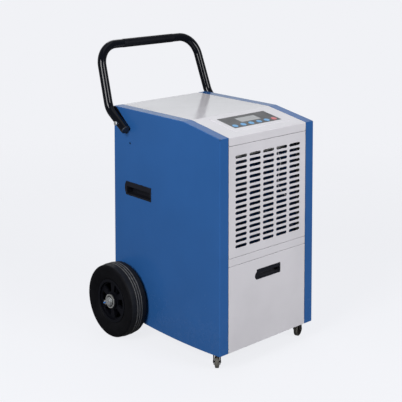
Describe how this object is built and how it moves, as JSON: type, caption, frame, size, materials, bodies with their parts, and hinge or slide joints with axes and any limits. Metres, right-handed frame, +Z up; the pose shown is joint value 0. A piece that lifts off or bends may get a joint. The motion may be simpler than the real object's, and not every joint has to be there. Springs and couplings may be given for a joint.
{
  "type": "wheeled dehumidifier",
  "caption": "Upright wheeled dehumidifier with folding push handle, louvred intake, tilted key panel and pull-out water tank.",
  "frame": {"origin": "on the floor under the middle of the whole machine", "axes": "+Z up, +X towards the machine's right as seen from the front, front faces -Y"},
  "size_m": [0.61, 0.6444, 1.0208],
  "materials": {
    "black_gloss_paint": "gloss",
    "black_paint": "satin",
    "black_plastic": "satin",
    "blue_paint": "semi-gloss",
    "brass": "satin",
    "caster_grey": "matt",
    "caster_steel": "satin",
    "circuit_board": "satin",
    "copper": "bright copper",
    "dark_plastic": "satin",
    "display_glass": "gloss",
    "fan_plastic": "satin",
    "filter_plastic": "matt",
    "fin_aluminium": "satin",
    "fin_navy": "satin",
    "float_foam": "matt",
    "grip_rubber": "matt",
    "hose_rubber": "matt",
    "key_blue": "satin",
    "key_red": "satin",
    "machine_black": "satin",
    "mount_rubber": "matt",
    "panel_grey": "satin",
    "rim_black": "satin",
    "tank_plastic": "satin",
    "tyre": "matt",
    "white_paint": "semi-gloss",
    "zinc_plate": "zinc plated",
    "zinc_sheet": "galvanised"
  },
  "bodies": {
    "case": {"air_filter": "filter_plastic", "axle_nuts": "zinc_plate", "base_tray": "zinc_sheet", "case_screws": "zinc_plate", "caster_plates": "zinc_sheet", "coil_end_plates": "zinc_sheet", "compressor": "machine_black", "compressor_mounts": "mount_rubber", "condenser_fins": "fin_aluminium", "control_bezel": "panel_grey", "control_board": "circuit_board", "deck_bulkhead": "zinc_sheet", "display_window": "display_glass", "drain_spigot": "black_plastic", "drain_tube": "hose_rubber", "drip_tray": "zinc_sheet", "electrical_box": "zinc_sheet", "evaporator_fins": "fin_navy", "fan_motor": "machine_black", "fan_shroud": "zinc_sheet", "float_switch": "black_plastic", "front_grille_panel": "white_paint", "handle_bolts": "zinc_plate", "handle_brackets": "black_paint", "left_side_panel": "blue_paint", "mid_rail": "white_paint", "power_inlet": "black_plastic", "rear_guard": "black_paint", "rear_panel": "white_paint", "refrigerant_pipes": "copper", "right_side_panel": "blue_paint", "side_grips": "black_plastic", "stub_axles": "zinc_plate", "top_cover": "white_paint"},
    "handle": {"handle_tube": "black_gloss_paint", "grip_sleeve": "grip_rubber", "handle_end_plugs": "dark_plastic"},
    "drawer": {"drawer_front": "white_paint", "drawer_pull": "black_plastic", "water_tank": "tank_plastic"},
    "float": {"float_arm": "float_foam"},
    "fan": {"fan_blade": "fan_plastic"},
    "left_wheel": {"left_tyre": "tyre", "left_rim": "rim_black", "left_hub_bush": "zinc_plate", "left_valve_stem": "brass"},
    "right_wheel": {"right_tyre": "tyre", "right_rim": "rim_black", "right_hub_bush": "zinc_plate", "right_valve_stem": "brass"},
    "left_fork": {"left_caster_fork": "caster_steel"},
    "right_fork": {"right_caster_fork": "caster_steel"},
    "left_roller": {"left_caster_wheel": "caster_grey"},
    "right_roller": {"right_caster_wheel": "caster_grey"},
    "key1": {"key_1": "key_blue"},
    "key2": {"key_2": "key_blue"},
    "key3": {"key_3": "key_blue"},
    "key4": {"key_4": "key_blue"},
    "key5": {"key_5": "key_blue"},
    "key6": {"key_6": "key_red"}
  },
  "joints": [
    {"name": "handle_fold", "type": "hinge", "parent": "case", "child": "handle", "pos_m": [0, 0.1702, 0.7485], "axis": [1, 0, 0], "range_deg": [0, 97]},
    {"name": "drawer_slide", "type": "slide", "parent": "case", "child": "drawer", "axis": [0, -1, 0], "range_m": [0, 0.3]},
    {"name": "float_tilt", "type": "hinge", "parent": "drawer", "child": "float", "pos_m": [0.124, -0.0212, 0.2977], "axis": [-1, 0, 0], "range_deg": [0, 28]},
    {"name": "fan_spin", "type": "hinge", "parent": "case", "child": "fan", "pos_m": [0, -0.1712, 0.5547], "axis": [0, 1, 0], "continuous": true},
    {"name": "left_wheel_spin", "type": "hinge", "parent": "case", "child": "left_wheel", "pos_m": [-0.263, 0.1578, 0.127], "axis": [1, 0, 0], "continuous": true},
    {"name": "right_wheel_spin", "type": "hinge", "parent": "case", "child": "right_wheel", "pos_m": [0.263, 0.1578, 0.127], "axis": [1, 0, 0], "continuous": true},
    {"name": "left_caster_swivel", "type": "hinge", "parent": "case", "child": "left_fork", "pos_m": [-0.19, -0.2772, 0.0537], "axis": [0, 0, 1], "continuous": true},
    {"name": "right_caster_swivel", "type": "hinge", "parent": "case", "child": "right_fork", "pos_m": [0.19, -0.2772, 0.0537], "axis": [0, 0, 1], "continuous": true},
    {"name": "left_caster_roll", "type": "hinge", "parent": "left_fork", "child": "left_roller", "pos_m": [-0.18386, -0.27062, 0.02], "axis": [0.7314, -0.682, 0], "continuous": true},
    {"name": "right_caster_roll", "type": "hinge", "parent": "right_fork", "child": "right_roller", "pos_m": [0.19865, -0.27472, 0.02], "axis": [0.2756, -0.9613, 0], "continuous": true},
    {"name": "key_1_press", "type": "slide", "parent": "case", "child": "key1", "axis": [0, 0.1741, -0.9847], "range_m": [0, 0.001]},
    {"name": "key_2_press", "type": "slide", "parent": "case", "child": "key2", "axis": [0, 0.1741, -0.9847], "range_m": [0, 0.001]},
    {"name": "key_3_press", "type": "slide", "parent": "case", "child": "key3", "axis": [0, 0.1741, -0.9847], "range_m": [0, 0.001]},
    {"name": "key_4_press", "type": "slide", "parent": "case", "child": "key4", "axis": [0, 0.1741, -0.9847], "range_m": [0, 0.001]},
    {"name": "key_5_press", "type": "slide", "parent": "case", "child": "key5", "axis": [0, 0.1741, -0.9847], "range_m": [0, 0.001]},
    {"name": "key_6_press", "type": "slide", "parent": "case", "child": "key6", "axis": [0, 0.1741, -0.9847], "range_m": [0, 0.001]}
  ]
}
